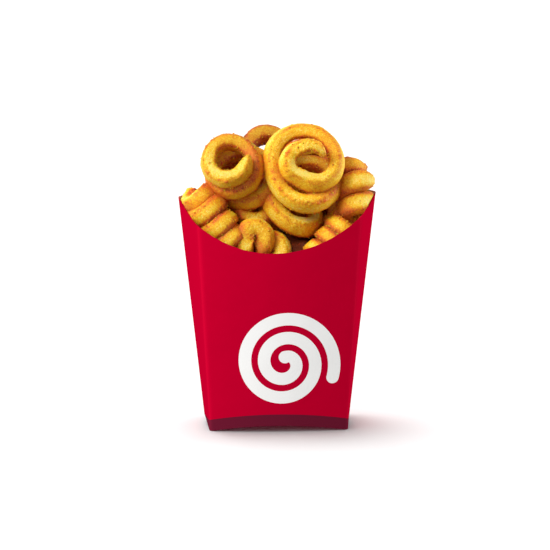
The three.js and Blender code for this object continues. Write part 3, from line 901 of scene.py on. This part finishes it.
def fried_potato():
    """A translucent sandy crust: golden, orange to brown where browned and where shade is painted in, with
    specks of spice.
    """
    shader = Shader("fried_potato")
    speck, speck_colour = shader.specks(POTATO["spice_size"], POTATO["spice_radius"])
    chosen = shader.add("ShaderNodeSeparateColor", {"Color": speck_colour}).outputs["Red"]
    spice = shader.product(speck, shader.math("GREATER_THAN", chosen, POTATO["spice_rarity"]))
    sand_size, sand_share = POTATO["sand"]
    coarse_size, coarse_share = POTATO["coarse"]
    sand = shader.grain(sand_size, roughness=0.6)
    coarse = shader.grain(coarse_size)
    tone = shader.total(shader.attribute("browning_and_shade"), shader.centred(sand, sand_share),
                        shader.centred(coarse, coarse_share), POTATO["offset"])
    # Painted crevice shade in a warm orange-brown, a painted glow of light through the potato.
    crevice_shade = shader.ramp_between(shader.attribute("deep"), POTATO["crevice_from"], 1.0,
                                  0.0, POTATO["crevice_shade_share"])
    colour = shader.colours(tone, POTATO["crust"])
    colour = shader.mix(shader.product(spice, POTATO["spice_share"]), colour, srgb(*POTATO["spice"]))
    colour = shader.mix(shader.attribute("shade"), colour, srgb(*POTATO["shade"]))
    colour = shader.mix(crevice_shade, colour, srgb(*POTATO["crevice_shade"]))
    shader.set(Base_Color=colour, Specular_IOR_Level=POTATO["specular"],
               Subsurface_Weight=POTATO["scattering"], Subsurface_Scale=POTATO["scattering_length"],
               Subsurface_Radius=POTATO["scattering_radii"])
    shader.set(Roughness=shader.ramp_between(shader.grain(2.0, detail=3), 0.3, 0.7, *POTATO["roughness"]))
    shader.bump(shader.total(sand, shader.product(coarse, 1.2)), POTATO["bump"])
    return shader.material


# ---------------------------------------------------------------- camera, light, floor

def camera_axes():
    azimuth = math.radians(CAMERA["azimuth"])
    elevation = math.radians(CAMERA["elevation"])
    back = Vector((math.sin(azimuth) * math.cos(elevation), -math.cos(azimuth) * math.cos(elevation),
                   math.sin(elevation)))
    right = Vector((math.cos(azimuth), math.sin(azimuth), 0))
    return right, back.cross(right), back


def add_camera():
    data = bpy.data.cameras.new("camera")
    camera = link(bpy.data.objects.new("camera", data))
    right, up, back = camera_axes()
    spot = (Vector(CAMERA["aim"]) - Vector(MIDDLE) + back * CAMERA["distance"]) * M
    camera.matrix_world = Matrix.Translation(spot) @ Matrix((right, up, back)).transposed().to_4x4()
    data.sensor_width = CAMERA["sensor"]
    data.lens = CAMERA["distance"] / CAMERA["frame"] * data.sensor_width
    bpy.context.scene.camera = camera


def area_light(name, azimuth, elevation, distance, size, power):
    data = bpy.data.lights.new(name, "AREA")
    data.shape = "DISK"
    data.size = size
    data.energy = power
    light = link(bpy.data.objects.new(name, data))
    a = math.radians(azimuth)
    e = math.radians(elevation)
    aim = Vector(LAMP_AIM)
    toward = Vector((math.sin(a) * math.cos(e), -math.cos(a) * math.cos(e), math.sin(e)))
    light.location = aim + distance * toward
    light.rotation_euler = (aim - light.location).to_track_quat("-Z", "Y").to_euler()
    return light


def add_sky():
    """A white sky that is brighter above the horizon and towards the left."""
    world = bpy.data.worlds.new("world")
    bpy.context.scene.world = world
    world.use_nodes = True
    tree = world.node_tree
    background = tree.nodes["Background"]
    background.inputs["Color"].default_value = (1, 1, 1, 1)
    where = tree.nodes.new("ShaderNodeTexCoord")
    parts = tree.nodes.new("ShaderNodeSeparateXYZ")
    blend = tree.nodes.new("ShaderNodeMapRange")
    blend.inputs["From Min"].default_value = -SKY["horizon"]
    blend.inputs["From Max"].default_value = SKY["horizon"]
    blend.inputs["To Min"].default_value = SKY["below"]
    blend.inputs["To Max"].default_value = SKY["above"]
    leaning = tree.nodes.new("ShaderNodeMath")
    leaning.operation = "MULTIPLY_ADD"
    leaning.inputs[1].default_value = -SKY["lean"]
    tree.links.new(where.outputs["Generated"], parts.inputs["Vector"])
    tree.links.new(parts.outputs["Z"], blend.inputs["Value"])
    tree.links.new(parts.outputs["X"], leaning.inputs[0])
    tree.links.new(blend.outputs["Result"], leaning.inputs[2])
    tree.links.new(leaning.outputs[0], background.inputs["Strength"])


def floor_lamp(name, spread, tilt, turn, strength):
    data = bpy.data.lights.new("floor_" + name, "SUN")
    data.angle = math.radians(spread)
    data.energy = strength * math.pi / math.cos(math.radians(tilt))
    lamp = link(bpy.data.objects.new("floor_" + name, data))
    lamp.rotation_euler = (math.radians(tilt), 0, math.radians(turn))
    return lamp


def add_floor():
    """A pale floor that only shows itself and the shadow on it, and sends no light or shadow back."""
    half = FLOOR["half"]
    mesh = bpy.data.meshes.new("floor")
    corners = [(-half, -half, 0), (half, -half, 0), (half, half, 0), (-half, half, 0)]
    mesh.from_pydata(corners, [], [(0, 1, 2, 3)])
    floor = link(bpy.data.objects.new("floor", mesh))
    shader = Shader("floor")
    shader.set(Base_Color=FLOOR["colour"], Roughness=FLOOR["roughness"], Specular_IOR_Level=0.0)
    mesh.materials.append(shader.material)
    floor.visible_diffuse = False
    floor.visible_glossy = False
    floor.visible_shadow = False
    return floor


def add_lamps(floor):
    """The studio lamps light all but the floor. The floor has lamps of its own, so that it stays white."""
    only_floor = bpy.data.collections.new("lit_by_floor_lamps")
    only_floor.objects.link(floor)
    all_but_floor = bpy.data.collections.new("unlit_by_studio_lamps")
    all_but_floor.objects.link(floor)
    all_but_floor.collection_objects[0].light_linking.link_state = "EXCLUDE"
    for name, settings in STUDIO_LAMPS.items():
        area_light(name, **settings).light_linking.receiver_collection = all_but_floor
    for name, settings in FLOOR_LAMPS.items():
        floor_lamp(name, **settings).light_linking.receiver_collection = only_floor


# ---------------------------------------------------------------- the scene

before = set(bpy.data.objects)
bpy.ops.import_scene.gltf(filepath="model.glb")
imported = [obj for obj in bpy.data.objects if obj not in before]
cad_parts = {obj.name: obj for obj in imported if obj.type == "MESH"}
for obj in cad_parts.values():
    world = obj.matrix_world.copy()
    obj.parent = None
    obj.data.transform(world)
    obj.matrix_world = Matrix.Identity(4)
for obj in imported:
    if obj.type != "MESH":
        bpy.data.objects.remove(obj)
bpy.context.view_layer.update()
add_camera()
add_sky()
add_lamps(add_floor())
bpy.context.scene.view_settings.view_transform = "Standard"
carton_piece()
potato = fried_potato()
crumbs_piece(strand_pieces(potato), potato)
core_piece(potato)
bpy.context.view_layer.update()
